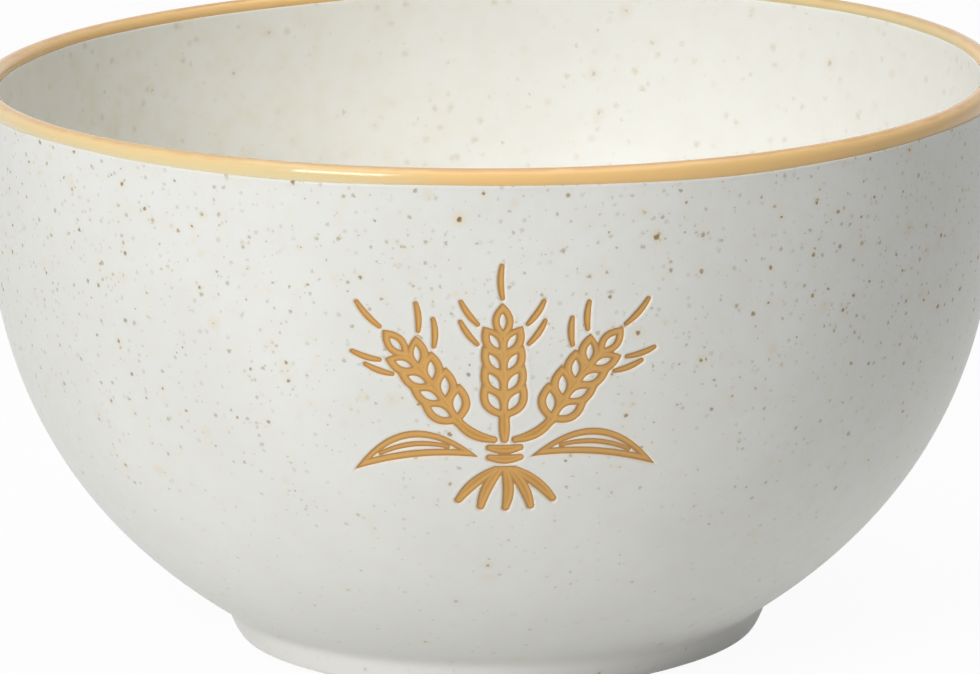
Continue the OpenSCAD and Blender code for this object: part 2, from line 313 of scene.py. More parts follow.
# Each group: lines, the white left inside them and, on a leaf, the vein inside that
SHEAF = {
    "middle_ear": ear(MIDDLE_FOOT, 90, 0, sheaf_at(0, -0.192), 0),
    "left_ear": SIDE_EAR,
    "right_ear": flipped(SIDE_EAR),
    "middle_awn": awns(MIDDLE_FOOT, 90, 0),
    "left_awn": SIDE_AWNS,
    "right_awn": flipped(SIDE_AWNS),
    "left_leaf": leaf(),
    "right_leaf": flipped(leaf()),
    "stalk": stalks(),
    "tie": tie(),
}


def merged(distances, soft=LINE_FILL):
    """Union of shapes by distance, with corners filled softly as glaze fills them."""
    total = None
    for d in distances:
        if total is None:
            total = d
            continue
        near = np.maximum(soft - np.abs(total - d), 0)
        total = np.minimum(total, d) - near ** 2 / (4 * soft)
    return total


def group_distance(group, x, y):
    lines, hearts, *veins = group
    d = merged([line.distance(x, y) for line in lines])
    if hearts:
        left_white = merged([heart.distance(x, y) for heart in hearts], HEART_FILL)
        near = np.maximum(CORNER_FILL - np.abs(d + left_white), 0)
        d = np.maximum(d, -left_white) + near ** 2 / (4 * CORNER_FILL)
    for vein in veins:
        d = np.minimum(d, merged([line.distance(x, y) for line in vein]))
    return d


def sheaf_distances(x, y):
    """Distance from each group's edge, and from the edge of the whole sheaf."""
    each = {name: group_distance(group, x, y) for name, group in SHEAF.items()}
    return each, merged(each.values(), GROUP_FILL)


def press_depth(d):
    """Depth of the white glaze at a distance from a line's edge: a low bead, then a soft lip."""
    bead = BEAD_H * np.exp(-((d - BEAD_OFF) / BEAD_W) ** 2)
    return PRESS_D * (1 - smooth(d, LIP_FROM, LIP_TO)) - bead


def fill_depth(d):
    """Depth of the caramel glaze, which climbs the lips of its lines."""
    return FILL_D - CLIMB_H * np.exp(np.minimum(d, 0) / CLIMB_W)


# Meshes
def waves(turn, parts):
    """Height of some waves round the bowl, added up."""
    return sum(height * np.sin(count * turn + phase) for height, count, phase in parts)


def warp(x, y, z):
    """The lip of the fired bowl isn't quite level: it sags a little, and it rises and falls twice
    round the rim."""
    sag = LIP_SAG + waves(np.arctan2(y, x), LIP_WAVES)
    return z + sag * smooth(z, SAG_FROM_Z, BOWL_H)


def band_wave(x, y, z):
    """The caramel band's lower edges wander a little, where the lip was dipped by hand."""
    turn = np.arctan2(y, x)
    outside = smooth(np.hypot(x, y), INNER_TOP_R, BOWL_R - LIP_R)
    edge = np.where(outside > 0.5, BAND_Z, BOWL_H - BAND_IN)
    wander = (waves(turn, OUTER_WAVES) * outside
              + (INNER_RISE + waves(turn, INNER_WAVES)) * (1 - outside))
    return z + wander * np.exp(-((z - edge) / BAND_EDGE_REACH) ** 2)


def coordinates(mesh):
    co = np.empty(len(mesh.vertices) * 3)
    mesh.vertices.foreach_get("co", co)
    return co.reshape(-1, 3)


def set_coordinates(mesh, co):
    mesh.vertices.foreach_set("co", co.ravel())
    mesh.update()


def add_attribute(mesh, name, values):
    mesh.attributes.new(name, "FLOAT", "POINT").data.foreach_set("value", values)


def spun(outline, *sweeps, start=0):
    """A bmesh of revolution from a closed outline. Each sweep is an angle in degrees and its steps,
    and the first begins at start."""
    bm = bmesh.new()
    a = math.radians(start)
    verts = [bm.verts.new((r * math.cos(a), r * math.sin(a), z)) for r, z in outline]
    geometry = verts + [bm.edges.new(ends) for ends in zip(verts, verts[1:] + verts[:1])]
    for angle, steps in sweeps:
        turned_on = bmesh.ops.spin(
            bm, geom=geometry, cent=(0, 0, 0), axis=(0, 0, 1), dvec=(0, 0, 0),
            angle=math.radians(angle), steps=steps, use_merge=angle == 360)
        geometry = turned_on["geom_last"]
    bmesh.ops.remove_doubles(bm, verts=bm.verts[:], dist=SAME_PLACE)
    bmesh.ops.recalc_face_normals(bm, faces=bm.faces[:])
    return bm


def finished(name, bm, material, node):
    """Makes a piece of a bmesh in millimetres: warped as the bowl is, and in metres. Its attribute
    "level" keeps the height in millimetres before the warp, for the colours of the lip."""
    mesh = bpy.data.meshes.new(name)
    bm.to_mesh(mesh)
    bm.free()
    co = coordinates(mesh)
    add_attribute(mesh, "level", co[:, 2])
    co[:, 2] = warp(co[:, 0], co[:, 1], band_wave(co[:, 0], co[:, 1], co[:, 2]))
    set_coordinates(mesh, co * MM)
    mesh.materials.append(material)
    mesh.polygons.foreach_set("use_smooth", [True] * len(mesh.polygons))
    piece = bpy.data.objects.new(name, mesh)
    bpy.context.scene.collection.objects.link(piece)
    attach(piece, "root")
    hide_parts(node)
    return piece


# Shader maths
class Value:
    """An output of a node. Arithmetic on it adds Math nodes to its material."""

    def __init__(self, shader, socket):
        self.shader, self.socket = shader, socket

    def __add__(self, other):
        return self.shader.math("ADD", self, other)

    def __sub__(self, other):
        return self.shader.math("SUBTRACT", self, other)

    def __rsub__(self, other):
        return self.shader.math("SUBTRACT", other, self)

    def __mul__(self, other):
        return self.shader.math("MULTIPLY", self, other)

    def __truediv__(self, other):
        return self.shader.math("DIVIDE", self, other)

    def __rtruediv__(self, other):
        return self.shader.math("DIVIDE", other, self)

    def __lt__(self, other):
        return self.shader.math("LESS_THAN", self, other)

    __radd__, __rmul__ = __add__, __mul__

    def smooth(self, low, high, to_low=0.0, to_high=1.0):
        """Smooth step from to_low at low to to_high at high."""
        return self.shader.node("MapRange", {"interpolation_type": "SMOOTHSTEP"}, {
            "Value": self, "From Min": low, "From Max": high,
            "To Min": to_low, "To Max": to_high})


class Shader:
    """A material's node tree."""

    def __init__(self, tree):
        self.tree = tree
        tree.nodes.clear()

    def node(self, kind, settings=None, inputs=None, output=0):
        """Adds a node, sets its settings, then its inputs, and gives one of its outputs."""
        node = self.tree.nodes.new("ShaderNode" + kind)
        for key, value in (settings or {}).items():
            if key == "stops":
                ramp = node.color_ramp
                while len(ramp.elements) < len(value):
                    ramp.elements.new(1)
                for element, (place, colour) in zip(ramp.elements, value):
                    element.position, element.color = place, (*colour, 1)
            else:
                setattr(node, key, value)
        for key, value in (inputs or {}).items():
            socket = node.inputs[key]
            if isinstance(value, Value):
                self.tree.links.new(value.socket, socket)
            elif socket.type == "RGBA":
                socket.default_value = (*value, 1)
            else:
                socket.default_value = value
        return Value(self, node.outputs[output]) if node.outputs else None

    def math(self, operation, a, b):
        return self.node("Math", {"operation": operation}, {0: a, 1: b})

    def mix(self, factor, a, b):
        """Mixes two colours."""
        return self.node("Mix", {"data_type": "RGBA"}, {0: factor, 6: a, 7: b}, 2)

    def move(self, place, by):
        return self.node("VectorMath", {"operation": "ADD"}, {0: place, 1: by})

    def noise(self, place, size, detail=2.0, roughness=0.5):
        """Noise about 0.5 whose features are about size metres wide."""
        return self.node("TexNoise", {}, {"Vector": place, "Scale": 1 / size, "Detail": detail,
                                          "Roughness": roughness})

    def cells(self, place, size):
        """Distance in metres to the nearest of scattered points, and three random values."""
        voronoi = self.node("TexVoronoi", {}, {"Vector": place, "Scale": 1 / size})
        colour = Value(self, voronoi.socket.node.outputs["Color"])
        parts = self.node("SeparateColor", {}, {0: colour}).socket.node.outputs
        return voronoi * size, [Value(self, part) for part in parts]


def linear(r, g, b):
    """A colour written in 0 to 255 as a screen shows it, as linear light."""
    def one(c):
        c /= 255
        return c / 12.92 if c <= 0.04045 else ((c + 0.055) / 1.055) ** 2.4
    return one(r), one(g), one(b)


def new_material(name):
    material = bpy.data.materials.new(name)
    material.use_nodes = True
    return material, Shader(material.node_tree)


# Dots: how far in metres noise moves their edges and how fine that noise is, then the smallest
# share of a layer's radius and of its strength that a dot has, and the reach of a halo in radii
OUTSIDE_WOBBLE, INSIDE_WOBBLE, SMALL_WOBBLE = 0.0005, 0.0009, 0.00035
WOBBLES_PER_METRE = 2200.0
LEAST_RADIUS, LEAST_STRENGTH, HALO_REACH = 0.45, 0.55, 3.2


def object_place(shader, wobbled=SMALL_WOBBLE):
    """Object coordinates, plain and wobbled a little so that no dot is quite round."""
    plain = shader.node("TexCoord", {}, {}, "Object")
    wobble = shader.node("TexNoise", {}, {"Vector": plain, "Scale": WOBBLES_PER_METRE,
                                          "Detail": 1.0}, "Color")
    centred = shader.node("VectorMath", {"operation": "SUBTRACT"}, {0: wobble, 1: (0.5,) * 3})
    small = shader.node("VectorMath", {"operation": "SCALE"}, {0: centred, "Scale": wobbled})
    return plain, shader.move(plain, small)


def finish_material(shader, inputs):
    """The Principled shader with its inputs, joined to the output."""
    surface = shader.node("BsdfPrincipled", {}, inputs)
    shader.node("OutputMaterial", {}, {"Surface": surface})


def speckle_layer(shader, colour, place, size, dot, share, tints, strength, soft, halo=0.0):
    """Mixes dots into a colour. size is their spacing, dot their largest radius, in metres."""
    distance, (luck, kind, weight) = shader.cells(place, size)
    radius = (LEAST_RADIUS + (1 - LEAST_RADIUS) * weight) * dot
    here = luck < share
    if halo:
        ring = distance.smooth(radius, radius * HALO_REACH, 1.0, 0.0)
        colour = shader.mix(ring * here * kind * halo, colour, OCHRE_HALO)
    inside = distance.smooth(radius * (1 - soft), radius, 1.0, 0.0)
    mask = inside * here * (LEAST_STRENGTH + (1 - LEAST_STRENGTH) * kind) * strength
    tint = shader.node("ValToRGB", {"stops": tints}, {"Fac": kind})
    return shader.mix(mask, colour, tint), mask


GREY_DOT, OLIVE_DOT, GOLD_DOT = linear(128, 122, 78), linear(134, 122, 56), linear(160, 141, 62)
BROWN_DOT, RUST_DOT = linear(128, 107, 44), linear(148, 111, 42)
OCHRE_HALO = linear(224, 206, 160)
HAZE, PALE_HAZE = linear(222, 216, 190), linear(226, 210, 184)
HONEY_HAZE = linear(230, 218, 178)
FAINT = ((0, OLIVE_DOT), (1, GOLD_DOT))
HONEY = ((0, linear(150, 136, 66)), (1, linear(196, 164, 84)))

# Layers of dots: spacing and largest radius in millimetres, how many of the places hold a dot,
# strength, softness, end colours, and the strength of the halo
OUTSIDE_DOTS = (
    (6.2, 1.0, 0.7, 0.12, 0.9, ((0, HAZE), (1, PALE_HAZE)), 0.0),
    (1.45, 0.29, 0.95, 0.5, 0.85, FAINT, 0.0),
    (1.5, 0.54, 0.95, 0.36, 0.9, ((0, GREY_DOT), (1, GOLD_DOT)), 0.0),
    (1.95, 0.5, 0.95, 0.66, 0.8, ((0, GREY_DOT), (0.5, OLIVE_DOT), (1, GOLD_DOT)), 0.05),
    (2.55, 0.5, 0.95, 0.9, 0.7, ((0, OLIVE_DOT), (0.6, BROWN_DOT), (1, RUST_DOT)), 0.1),
    (4.2, 0.56, 0.95, 1.0, 0.55, ((0, BROWN_DOT), (1, RUST_DOT)), 0.3),
)
INSIDE_DOTS = (
    (4.2, 1.5, 0.8, 0.3, 0.95, ((0, HONEY_HAZE), (1, PALE_HAZE)), 0.0),
    (2.2, 0.42, 0.9, 0.2, 0.9, HONEY, 0.0),
    (2.7, 0.95, 0.95, 0.32, 0.95, HONEY, 0.0),
    (5.0, 0.6, 0.9, 0.46, 0.8, ((0, OLIVE_DOT), (1, GOLD_DOT)), 0.15),
)

# White glaze, in metres: its clouds, its fine mottle, the crowding of dots, and its surface
CLOUD_SIZE, MOTTLE_SIZE, CROWD_SIZE = 0.024, 0.0032, 0.0075
PEEL_SIZE, SWELLING_SIZE, BUMP_HEIGHT = 0.0011, 0.007, 0.0002
MOTTLE_STRENGTH, HONEY_RANGE, CROWD_RANGE = 0.16, (0.12, 0.3), (0.6, 1.05)
# Changes over a distance, as two places in metres and the shares there: inside, the honey mottle
# from left to right, painted stronger on the shaded left as painted warm shade, and outside, the
# number and the strength of the dots from low to high
HONEY_AND_SHADE_ACROSS = (-0.05, 0.03, 1.0, 0.35)
DENSER_UPWARDS, DARKER_UPWARDS = (0.02, 0.07, 0.32, 1.1), (0.014, 0.062, 0.5, 1.0)
# Painted light: below these heights, in metres, the outside is painted paler, up to this
# near-white, for the light the floor throws on the foot
FOOT_PAINTED_LIGHT_FROM, FOOT_PAINTED_LIGHT_FULL, FOOT_PAINTED_LIGHT_COLOUR = 0.0058, 0.0032, linear(249, 248, 244)
LINE_STAIN, STAINED = 0.45, linear(236, 205, 160)


def white_glaze(name, body, layers, rough, outside=False):
    """Speckled white glaze. Outside, its dots are denser and darker towards the rim, the foot is
    painted paler as painted light from the floor, and the glaze beside the pressed lines takes
    some of their colour. Inside, it has a honey mottle, painted stronger on the shaded left side
    as painted warm shade."""
    material, shader = new_material(name)
    plain, place = object_place(shader, OUTSIDE_WOBBLE if outside else INSIDE_WOBBLE)
    cloud = shader.noise(plain, CLOUD_SIZE)
    colour = shader.mix(cloud.smooth(0.3, 0.7), linear(*body[0]), linear(*body[1]))
    mottle = shader.noise(shader.move(plain, (0.7, 0.2, 0.4)), MOTTLE_SIZE, 3.0)
    crowd = shader.noise(shader.move(plain, (0.3, 0.1, 0.7)), CROWD_SIZE)
    crowd = crowd.smooth(0.32, 0.68, *CROWD_RANGE)
    weight = 1.0
    if outside:
        colour = shader.mix(mottle.smooth(0.4, 0.8, 0.0, MOTTLE_STRENGTH), colour, HAZE)
        height = shader.node("SeparateXYZ", {}, {0: plain}, 2)
        # Painted light: the foot is painted towards white for the light it gets from the floor
        foot_painted_light = height.smooth(FOOT_PAINTED_LIGHT_FROM, FOOT_PAINTED_LIGHT_FULL)
        colour = shader.mix(foot_painted_light, colour, FOOT_PAINTED_LIGHT_COLOUR)
        crowd = crowd * height.smooth(*DENSER_UPWARDS)
        weight = height.smooth(*DARKER_UPWARDS)
    else:
        across = shader.node("SeparateXYZ", {}, {0: plain}, 0)
        # Painted warm shade: the glaze's own honey mottle is made stronger on the shaded left of
        # the inside
        honey_and_shade = mottle.smooth(0.35, 0.8, *HONEY_RANGE) * across.smooth(*HONEY_AND_SHADE_ACROSS)
        colour = shader.mix(honey_and_shade, colour, HONEY_HAZE)
    dotted = 0.0
    for number, (spacing, radius, share, strength, soft, tints, halo) in enumerate(layers):
        shifted = shader.move(place, (0.05 * number, 0.02 * number, 0.07 * number))
        colour, mask = speckle_layer(shader, colour, shifted, spacing * MM, radius * MM,
                                     crowd * share, tints, weight * strength, soft, halo)
        dotted = mask + dotted
    if outside:
        near_line = shader.node("Attribute", {"attribute_name": "near_line"}, {}, "Fac")
        colour = shader.mix(near_line * LINE_STAIN, colour, STAINED)
    peel = shader.noise(plain, PEEL_SIZE, 3.0)
    swelling = shader.noise(plain, SWELLING_SIZE, 1.0)
    relief = peel * 0.35 + swelling * 1.2 - dotted * 0.25
    bump = shader.node("Bump", {}, {"Strength": 0.12, "Distance": BUMP_HEIGHT, "Height": relief})
    roughness = cloud.smooth(0.3, 0.7, rough - 0.03, rough + 0.04) + dotted * 0.1
    finish_material(shader, {"Base Color": colour, "Roughness": roughness, "Normal": bump,
                             "IOR": 1.5, "Specular IOR Level": 0.3})
    return material


# Caramel glaze: its colours from the thinnest to the thickest, in pools, where the darkest stop at
# a line's edge is painted shade, and round the lip, where the lit quarters are painted pale and the
# shaded quarters golden as painted light and shade, and then its clouds and few dots
# The first, darkest stop, at each line's edge, is painted shade of the groove's edge; the later
# stops darken where the glaze really pools thick
POOL_AND_EDGE_SHADE_STOPS = (
    (0.0, linear(180, 130, 62)), (0.12, linear(200, 149, 74)), (0.34, linear(218, 170, 96)),
    (0.52, linear(208, 155, 74)), (0.8, linear(196, 138, 56)), (1.0, linear(186, 124, 42)))
# Painted light and shade on the lip: the pale colours go on the lit quarters, the golden ones on
# the shaded quarters
LIT_PALE_STOPS = (
    (0.0, linear(230, 214, 174)), (0.3, linear(232, 211, 158)), (0.8, linear(234, 203, 147)),
    (0.97, linear(218, 178, 118)))
SHADED_GOLDEN_STOPS = (
    (0.0, linear(230, 192, 128)), (0.3, linear(243, 199, 129)), (0.85, linear(248, 204, 134)),
    (0.97, linear(226, 174, 110)))
CARAMEL_TINTS = ((0, linear(150, 104, 50)), (1, linear(190, 142, 78)))
QUARTER_BLEND = 0.0018
POOL_UNEVEN, BAND_UNEVEN = 0.35, 0.7
CARAMEL_CLOUD, POOL_STREAK, BAND_STREAK = 0.006, 0.0016, 0.0024
CARAMEL_SPACING, CARAMEL_DOT = 0.0021, 0.0002


def caramel_glaze(name, pooled):
    """Glossy caramel glaze: pale and creamy where it runs thin over the lip, painted paler still on
    its lit quarters and golden on its shaded ones, and brown where it pools in the pressed lines,
    darkest at each line's edge as painted shade."""
    material, shader = new_material(name)
    plain, place = object_place(shader)
    cloud = shader.noise(plain, CARAMEL_CLOUD, 3.0)
    if pooled:
        pool = shader.node("Attribute", {"attribute_name": "pool"}, {}, "Fac")
        thick = pool + (cloud - 0.5) * POOL_UNEVEN * pool.smooth(0.1, 0.5)
        # Darkest at each line's edge as painted shade, then darker again where the glaze pools
        # thick
        colour = shader.node("ValToRGB", {"stops": POOL_AND_EDGE_SHADE_STOPS}, {"Fac": thick})
    else:
        level = shader.node("Attribute", {"attribute_name": "level"}, {}, "Fac")
        thick = (level - BAND_Z + (cloud - 0.5) * BAND_UNEVEN) / BAND_OUT
        pale = shader.node("ValToRGB", {"stops": LIT_PALE_STOPS}, {"Fac": thick})
        shaded_golden = shader.node("ValToRGB", {"stops": SHADED_GOLDEN_STOPS}, {"Fac": thick})
        x, y = [shader.node("SeparateXYZ", {}, {0: plain}, i) for i in (0, 1)]
        # Painted light and shade: the lit quarters, front left and back right, take the pale
        # colours and the shaded quarters the golden ones
        colour = shader.mix((x * y).smooth(0.0, QUARTER_BLEND), shaded_golden, pale)
    colour, _ = speckle_layer(shader, colour, place, CARAMEL_SPACING, CARAMEL_DOT, 0.45,
                              CARAMEL_TINTS, 0.4, 0.6)
    streak = shader.noise(shader.move(plain, (0.2, 0.4, 0.1)),
                          POOL_STREAK if pooled else BAND_STREAK)
    bump = shader.node("Bump", {}, {"Strength": 0.6 if pooled else 0.1, "Distance": BUMP_HEIGHT,
                                    "Height": streak})
    roughness = cloud.smooth(0.3, 0.7, 0.1, 0.17)
    finish_material(shader, {"Base Color": colour, "Roughness": roughness, "Normal": bump,
                             "IOR": 1.52, "Specular IOR Level": 0.42})
    return material


# Bare clay: its colours, the iron and grog in it, and the grain of its sand
CLAY_PALE, CLAY_DARK = linear(206, 190, 164), linear(190, 170, 140)
IRON_TINTS = ((0, linear(118, 92, 62)), (1, linear(150, 116, 76)))
GROG_TINTS = ((0, linear(222, 210, 188)), (1, linear(214, 198, 172)))
IRON_SPACING, IRON_DOT, GROG_SPACING, GROG_DOT = 0.0011, 0.00016, 0.0016, 0.0003
CLAY_CLOUD, SAND_SIZE, SAND_HEIGHT = 0.012, 0.0005, 0.00015


def bare_stoneware(name):
    """Unglazed fired clay: buff, sandy to the touch, with iron and pale grog in it."""
    material, shader = new_material(name)
    plain, place = object_place(shader)
    cloud = shader.noise(plain, CLAY_CLOUD, 3.0)
    colour = shader.mix(cloud.smooth(0.3, 0.7), CLAY_PALE, CLAY_DARK)
    colour, dark = speckle_layer(shader, colour, place, IRON_SPACING, IRON_DOT, 0.5, IRON_TINTS,
                                 0.8, 0.5)
    colour, pale = speckle_layer(shader, colour, shader.move(place, (0.03, 0.01, 0.06)),
                                 GROG_SPACING, GROG_DOT, 0.45, GROG_TINTS, 0.6, 0.6)
    sand = shader.noise(plain, SAND_SIZE, 4.0, 0.65)
    bump = shader.node("Bump", {}, {"Strength": 0.5, "Distance": SAND_HEIGHT,
                                    "Height": sand + pale * 0.3 - dark * 0.2})
    finish_material(shader, {"Base Color": colour, "Roughness": sand.smooth(0.3, 0.7, 0.78, 0.92),
                             "Normal": bump, "Specular IOR Level": 0.25})
    return material


# Materials
OUTSIDE = white_glaze("speckled white glaze outside", ((229, 229, 225), (234, 234, 230)),
                      OUTSIDE_DOTS, 0.42, outside=True)
# The inside is the same glaze as the outside, painted lighter here as painted light for the inside
# of the bowl
INSIDE_PAINTED_LIGHT = white_glaze("speckled white glaze inside, painted lighter", ((246, 246, 242), (249, 249, 245)),
                     INSIDE_DOTS, 0.4)
RIM = caramel_glaze("caramel glaze on the lip", False)
INLAY = caramel_glaze("caramel glaze in the lines", True)
CLAY = bare_stoneware("bare stoneware")

# Outer glaze with pressed lines
FRONT_FROM, FRONT_ANGLE, FRONT_STEPS, BACK_STEPS = -112.0, 44.0, 54, 176
UPPER_FOOT_Z, OVER_FOOT_Z, FRONT_LOW_Z, FRONT_HIGH_Z = FOOT_H - 1.2, 7.5, 33, 73
# The room looked at round the sheaf, and the fine faces: how near a line they are, and their cuts
AROUND, FINE_REACH, FINE_CUTS = 4, 1.35, 6
# Reach of a line's stain and of a pool's edge, then a filling's overlap and thickness
STAIN_REACH, POOL_REACH, FILL_OVERLAP, FILL_T = 0.45, 0.9, 0.14, 0.3
FAR_OFF = 9.0

# Rises and depths of the glaze's rounded end on the foot, and of its bead under the caramel
foot_edge = ((0.2, 0.36), (0.0, 0.3), (-0.06, 0.17), (-0.02, 0.05), (0.1, -0.02))
band_bead = ((-0.7, -0.03), (-0.42, -0.07), (-0.24, -0.09), (-0.1, -0.05), (-0.02, 0.05),
             (0.02, 0.2))
wall_heights = (spread(BARE_H + 0.3, UPPER_FOOT_Z, 8)[:-1]
                + spread(UPPER_FOOT_Z, OVER_FOOT_Z, 18)[:-1]
                + spread(OVER_FOOT_Z, FRONT_LOW_Z, 18)[:-1]
                + spread(FRONT_LOW_Z, FRONT_HIGH_Z, 40)[:-1]
                + spread(FRONT_HIGH_Z, BAND_Z - 1.2, 8))


def pair(point):
    return float(point[0]), float(point[1])


def outer_points(heights, depth):
    return [pair(outer_at(z, depth)) for z in heights]


def edge_points(height, steps):
    """Outside points from pairs of a rise above a height and a depth."""
    return [pair(outer_at(height + rise, depth)) for rise, depth in steps]


outer_outline = edge_points(BARE_H, foot_edge)
outer_outline += outer_points(wall_heights, 0.0)
outer_outline += edge_points(BAND_Z, band_bead)
outer_outline += outer_points(reversed(spread(BARE_H + 0.5, BAND_Z, 36)), GLAZE)

bm = spun(outer_outline, (FRONT_ANGLE, FRONT_STEPS), (360 - FRONT_ANGLE, BACK_STEPS),
          start=FRONT_FROM)


def drawing_place(x, z):
    return x - SHEAF_X, z - SHEAF_Z


def on_front(co):
    """Which points lie on the outer face of the front, near the sheaf."""
    r = np.hypot(co[:, 0], co[:, 1])
    x, y = drawing_place(co[:, 0], co[:, 2])
    return ((r > outer_r(co[:, 2]) - GLAZE / 2) & (co[:, 1] < 0)
            & (np.abs(x) < SHEAF_W / 2 + AROUND) & (np.abs(y) < SHEAF_H / 2 + AROUND))


bm.faces.ensure_lookup_table()
centres = np.array([face.calc_center_median() for face in bm.faces])
near = np.zeros(len(centres), bool)
front = on_front(centres)
_, centre_distance = sheaf_distances(*drawing_place(centres[front, 0], centres[front, 2]))
near[front] = centre_distance < FINE_REACH
fine_edges = {edge for i in np.flatnonzero(near) for edge in bm.faces[i].edges}
bmesh.ops.subdivide_edges(bm, edges=list(fine_edges), cuts=FINE_CUTS, use_grid_fill=True)

wall_mesh = bpy.data.meshes.new("wall_base")
bm.to_mesh(wall_mesh)
bm.free()
base = coordinates(wall_mesh)
front = on_front(base)
turn = np.arctan2(base[front, 1], base[front, 0])
each_distance, all_distance = sheaf_distances(*drawing_place(base[front, 0], base[front, 2]))


def pressed(depth):
    """The wall's points with the front moved in by a depth below the outside."""
    co = base.copy()
    r, z = outer_at(base[front, 2], depth)
    co[front] = np.stack([r * np.cos(turn), r * np.sin(turn), z], 1)
    return co


set_coordinates(wall_mesh, pressed(press_depth(all_distance)))
bm = bmesh.new()
bm.from_mesh(wall_mesh)
wall = finished("glazed_wall", bm, OUTSIDE, "outer_white_glaze")
near_line = np.zeros(len(base))
near_line[front] = 1 - smooth(all_distance, 0.0, STAIN_REACH)
add_attribute(wall.data, "near_line", near_line)

# Caramel in the pressed lines
total = np.full(len(base), FAR_OFF)
total[front] = all_distance
names = list(SHEAF)
owner = np.full(len(base), -1)
owner[front] = np.argmin(np.stack([each_distance[name] for name in names]), 0)
set_coordinates(wall_mesh, pressed(fill_depth(all_distance)))
pool = np.zeros(len(base))
pool[front] = np.clip(-all_distance / POOL_REACH, 0, 1)
add_attribute(wall_mesh, "pool", pool)

for number, group in enumerate(names):
    bm = bmesh.new()
    bm.from_mesh(wall_mesh)
    spare = [face for face in bm.faces
             if min(total[v.index] for v in face.verts) > FILL_OVERLAP
             or owner[face.verts[0].index] != number]
    bmesh.ops.delete(bm, geom=spare, context="FACES")
    bmesh.ops.solidify(bm, geom=bm.faces[:], thickness=FILL_T)
    bmesh.ops.recalc_face_normals(bm, faces=bm.faces[:])
    node = group + ("_inlay" if group.endswith(("ear", "leaf")) else "_inlays")
    finished(group + "_fill", bm, INLAY, node)
bpy.data.meshes.remove(wall_mesh)

# Caramel over the lip
inner_band_u = inner_angle(BAND_IN)
lip_u = inner_angle(LIP_R)


def inner_edge(start, steps):
    """Inside points from pairs of a share of the way from an angle to the band's edge, and a
    depth."""
    return [pair(inner_at(start + (inner_band_u - start) * share, depth))
            for share, depth in steps]


rim_outline = edge_points(BAND_Z, ((-0.25, 0.35), (-0.14, 0.22), (0.0, 0.15), (0.2, 0.1),
                                   (0.5, 0.05)))
rim_outline += [pair(lip_at(a, 0)) for a in range(0, 181, 12)]
rim_outline += inner_edge(lip_u, ((0.5, 0.04), (0.8, 0.1), (1.0, 0.15), (1.06, 0.22),
                                  (1.1, 0.35)))
rim_outline += [pair(lip_at(a, GLAZE)) for a in range(180, -1, -20)]
finished("caramel_rim", spun(rim_outline, (360, 260)), RIM, "rim_caramel_glaze")

# Inner glaze
inside_us = [inner_band_u + (90 - inner_band_u) * f ** 0.9 for f in spread(0, 1, 70)[3:]]
inner_outline = inner_edge(0, ((0.985, 0.2), (1.0, 0.08), (1.04, 0.0), (1.1, -0.04),
                               (1.2, -0.04), (1.35, -0.02)))
inner_outline += [pair(inner_at(u, 0.0)) for u in inside_us[:-1]]
inner_outline += [(0.0, FLOOR_Z), (0.0, FLOOR_Z - GLAZE)]
inner_outline += [pair(inner_at(u, GLAZE)) for u in reversed(spread(inner_band_u, 86, 30))]
finished("glazed_inside", spun(inner_outline, (360, 216)), INSIDE_PAINTED_LIGHT, "inner_white_glaze")

# Foot
BEHIND, FOOT_SHELF = GLAZE + 0.02, 1.3
BARE_DEPTH, OUTER_CORNER_R, OUTER_CORNER_H = GLAZE - 0.15, 0.3, 0.15
INNER_CORNER_R, HOLLOW_CORNER_R = 0.5, 1.4


def hollow_r(z):
    return HOLLOW_R - HOLLOW_LEAN * z / HOLLOW_H


foot_outline = [(FOOT_BASE_R - GLAZE - FOOT_SHELF, HOLLOW_H)]
foot_outline += outer_points((HOLLOW_H, 2.6, 1.4, 0.7), BEHIND)
foot_outline += outer_points((0.45, 0.25), BARE_DEPTH)
foot_outline += [(FOOT_BASE_R - GLAZE - 0.1 + OUTER_CORNER_R * math.cos(a),
                  OUTER_CORNER_H * (1 - math.sin(a))) for a in (0.5, 1.0, math.pi / 2)]
foot_outline += [(HOLLOW_R + INNER_CORNER_R * (1 - math.sin(a)),
                  INNER_CORNER_R * (1 - math.cos(a))) for a in (0, 0.5, 1.0, 1.45)]
foot_outline += [(hollow_r(z), z) for z in (1.2, 2.4, HOLLOW_H)]
finished("clay_foot", spun(foot_outline, (360, 200)), CLAY, "foot_ring")

# Glaze in the hollow under the foot
base_low = HOLLOW_H - GLAZE
base_outline = [(0.0, HOLLOW_H), (HOLLOW_R - 0.6, HOLLOW_H)]
base_outline += [(hollow_r(z) + 0.02, z) for z in (3.2, 2.2, 1.3)]
base_outline += [(HOLLOW_R - 0.4, BARE_H + 0.1), (HOLLOW_R - 0.58, BARE_H + 0.14),
                 (HOLLOW_R - 0.7, BARE_H + 0.4)]
base_outline += [(HOLLOW_R - 0.96 - HOLLOW_CORNER_R * (1 - math.cos(a)),
                  base_low - HOLLOW_CORNER_R * (1 - math.sin(a)))
                 for a in spread(0, math.pi / 2, 7)]
base_outline += [(r, base_low) for r in spread(HOLLOW_R - 3.2, 0, 12)]
finished("glazed_base", spun(base_outline, (360, 160)), INSIDE_PAINTED_LIGHT, "base_white_glaze")

# Clay between the glazes
body_outline = [(0.0, HOLLOW_H), (FOOT_R - 2.2, HOLLOW_H)]
body_outline += outer_points(spread(HOLLOW_H + 0.05, 12, 10)[:-1] + spread(12, BAND_Z, 40),
                             BEHIND)
body_outline += [pair(lip_at(a, BEHIND)) for a in range(0, 181, 20)]
body_outline += [pair(inner_at(u, BEHIND)) for u in spread(lip_u + 0.5, 88, 60)]
body_outline += [(0.0, FLOOR_Z - BEHIND)]
finished("clay_body", spun(body_outline, (360, 180)), CLAY, "clay_bowl")

